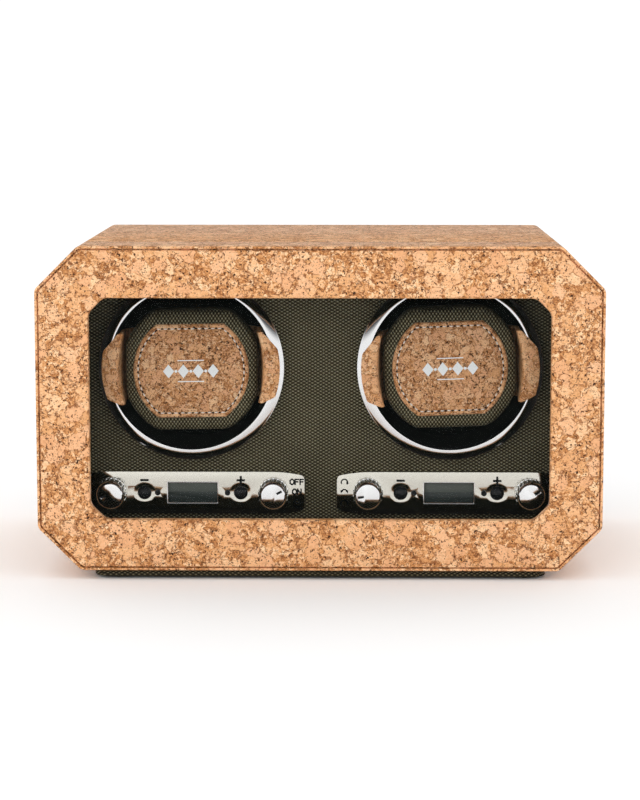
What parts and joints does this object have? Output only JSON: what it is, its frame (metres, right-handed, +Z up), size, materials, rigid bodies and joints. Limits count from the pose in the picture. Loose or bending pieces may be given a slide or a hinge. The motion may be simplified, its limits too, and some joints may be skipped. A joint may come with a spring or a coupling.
{
  "type": "watch winder box",
  "caption": "Octagonal cork-covered watch winder box with a glazed hinged door, motor-driven drums with padded cuffs, and chrome control bars with knobs, push buttons and displays.",
  "frame": {"origin": "on the floor under the middle of the box", "axes": "+X to the viewer's right along the width, +Z up, the door faces -Y"},
  "size_m": [0.3384, 0.21, 0.1992],
  "materials": {
    "cork": "agglomerated cork veneer, matt, with dark specks",
    "board": "raw fibre board",
    "olive_fabric": "coated ballistic weave, low sheen",
    "screw_steel": "black oxide",
    "rubber": "matt",
    "black_plastic": "fine textured moulding",
    "gloss_black": "polished",
    "brass": "satin",
    "steel": "satin",
    "chrome": "mirror plated",
    "display": "reflective liquid crystal panel in a grey holder",
    "circuit_board": "solder mask",
    "glass": "clear float glass"
  },
  "bodies": {
    "case": {"body_carcass": "board", "body_wrap": "cork", "fascia": "olive_fabric", "base_board": "olive_fabric", "base_screws": "screw_steel", "feet": "rubber", "back_panel": "black_plastic", "back_screws": "screw_steel", "power_socket": "black_plastic", "hinge_leaves_body": "brass", "hinge_pins": "steel", "case_magnets": "steel", "housing_left": "black_plastic", "housing_right": "black_plastic", "drum_bushes": "brass", "motor_left": "steel", "motor_right": "steel", "motor_brackets": "steel", "bracket_screws": "screw_steel", "belts": "rubber", "control_bar_left": "chrome", "control_bar_right": "chrome", "bar_screws": "screw_steel", "displays": "display", "circuit_board_left": "circuit_board", "circuit_board_right": "circuit_board", "rotary_switches": "black_plastic", "button_switches": "black_plastic"},
    "door": {"door_rim": "board", "door_wrap": "cork", "door_face": "cork", "glass_pane": "glass", "glass_retainer": "olive_fabric", "hinge_leaves_door": "brass", "strike_plates": "steel"},
    "rotor_left": {"ring_left": "chrome", "drum_cup_left": "gloss_black", "drum_shaft_left": "steel"},
    "cuff_left": {"cuff_cushion_left": "olive_fabric", "cuff_core_left": "black_plastic", "cuff_patch_left": "cork", "cuff_wings_left": "cork"},
    "motor_pulley_left": {"motor_pulley_left": "brass"},
    "knob_direction_left": {"knob_direction_left": "chrome"},
    "knob_power_left": {"knob_power_left": "chrome"},
    "button_minus_left": {"button_minus_left": "gloss_black"},
    "button_plus_left": {"button_plus_left": "gloss_black"},
    "rotor_right": {"ring_right": "chrome", "drum_cup_right": "gloss_black", "drum_shaft_right": "steel"},
    "cuff_right": {"cuff_cushion_right": "olive_fabric", "cuff_core_right": "black_plastic", "cuff_patch_right": "cork", "cuff_wings_right": "cork"},
    "motor_pulley_right": {"motor_pulley_right": "brass"},
    "knob_direction_right": {"knob_direction_right": "chrome"},
    "knob_power_right": {"knob_power_right": "chrome"},
    "button_minus_right": {"button_minus_right": "gloss_black"},
    "button_plus_right": {"button_plus_right": "gloss_black"}
  },
  "joints": [
    {"name": "door_hinge", "type": "hinge", "parent": "case", "child": "door", "pos_m": [-0.168, -0.063, 0.10245], "axis": [0, 0, -1], "range_deg": [0, 110]},
    {"name": "drum_spin_left", "type": "hinge", "parent": "case", "child": "rotor_left", "pos_m": [-0.0784, 0, 0.1229], "axis": [0, 1, 0], "continuous": true},
    {"name": "cuff_slide_left", "type": "slide", "parent": "rotor_left", "child": "cuff_left", "axis": [0, -1, 0], "range_m": [0, 0.02]},
    {"name": "motor_spin_left", "type": "hinge", "parent": "case", "child": "motor_pulley_left", "pos_m": [-0.0784, 0.017, 0.0809], "axis": [0, 1, 0], "continuous": true},
    {"name": "knob_direction_left_turn", "type": "hinge", "parent": "case", "child": "knob_direction_left", "pos_m": [-0.1279, -0.0652, 0.0452], "axis": [0, 1, 0], "range_deg": [-28, 28]},
    {"name": "knob_power_left_turn", "type": "hinge", "parent": "case", "child": "knob_power_left", "pos_m": [-0.0289, -0.0652, 0.0452], "axis": [0, 1, 0], "range_deg": [0, 56]},
    {"name": "button_minus_left_press", "type": "slide", "parent": "case", "child": "button_minus_left", "axis": [0, 1, 0], "range_m": [0, 0.001], "stiffness_N_per_m": 400, "springref_m": -0.0005},
    {"name": "button_plus_left_press", "type": "slide", "parent": "case", "child": "button_plus_left", "axis": [0, 1, 0], "range_m": [0, 0.001], "stiffness_N_per_m": 400, "springref_m": -0.0005},
    {"name": "drum_spin_right", "type": "hinge", "parent": "case", "child": "rotor_right", "pos_m": [0.0784, 0, 0.1229], "axis": [0, 1, 0], "continuous": true},
    {"name": "cuff_slide_right", "type": "slide", "parent": "rotor_right", "child": "cuff_right", "axis": [0, -1, 0], "range_m": [0, 0.02]},
    {"name": "motor_spin_right", "type": "hinge", "parent": "case", "child": "motor_pulley_right", "pos_m": [0.0784, 0.017, 0.0809], "axis": [0, 1, 0], "continuous": true},
    {"name": "knob_direction_right_turn", "type": "hinge", "parent": "case", "child": "knob_direction_right", "pos_m": [0.0289, -0.0652, 0.0452], "axis": [0, 1, 0], "range_deg": [-28, 28]},
    {"name": "knob_power_right_turn", "type": "hinge", "parent": "case", "child": "knob_power_right", "pos_m": [0.1279, -0.0652, 0.0452], "axis": [0, 1, 0], "range_deg": [0, 56]},
    {"name": "button_minus_right_press", "type": "slide", "parent": "case", "child": "button_minus_right", "axis": [0, 1, 0], "range_m": [0, 0.001], "stiffness_N_per_m": 400, "springref_m": -0.0005},
    {"name": "button_plus_right_press", "type": "slide", "parent": "case", "child": "button_plus_right", "axis": [0, 1, 0], "range_m": [0, 0.001], "stiffness_N_per_m": 400, "springref_m": -0.0005}
  ],
  "couplings": [
    {"joint": "motor_spin_left", "follows": "drum_spin_left", "ratio": 4},
    {"joint": "motor_spin_right", "follows": "drum_spin_right", "ratio": 4}
  ]
}
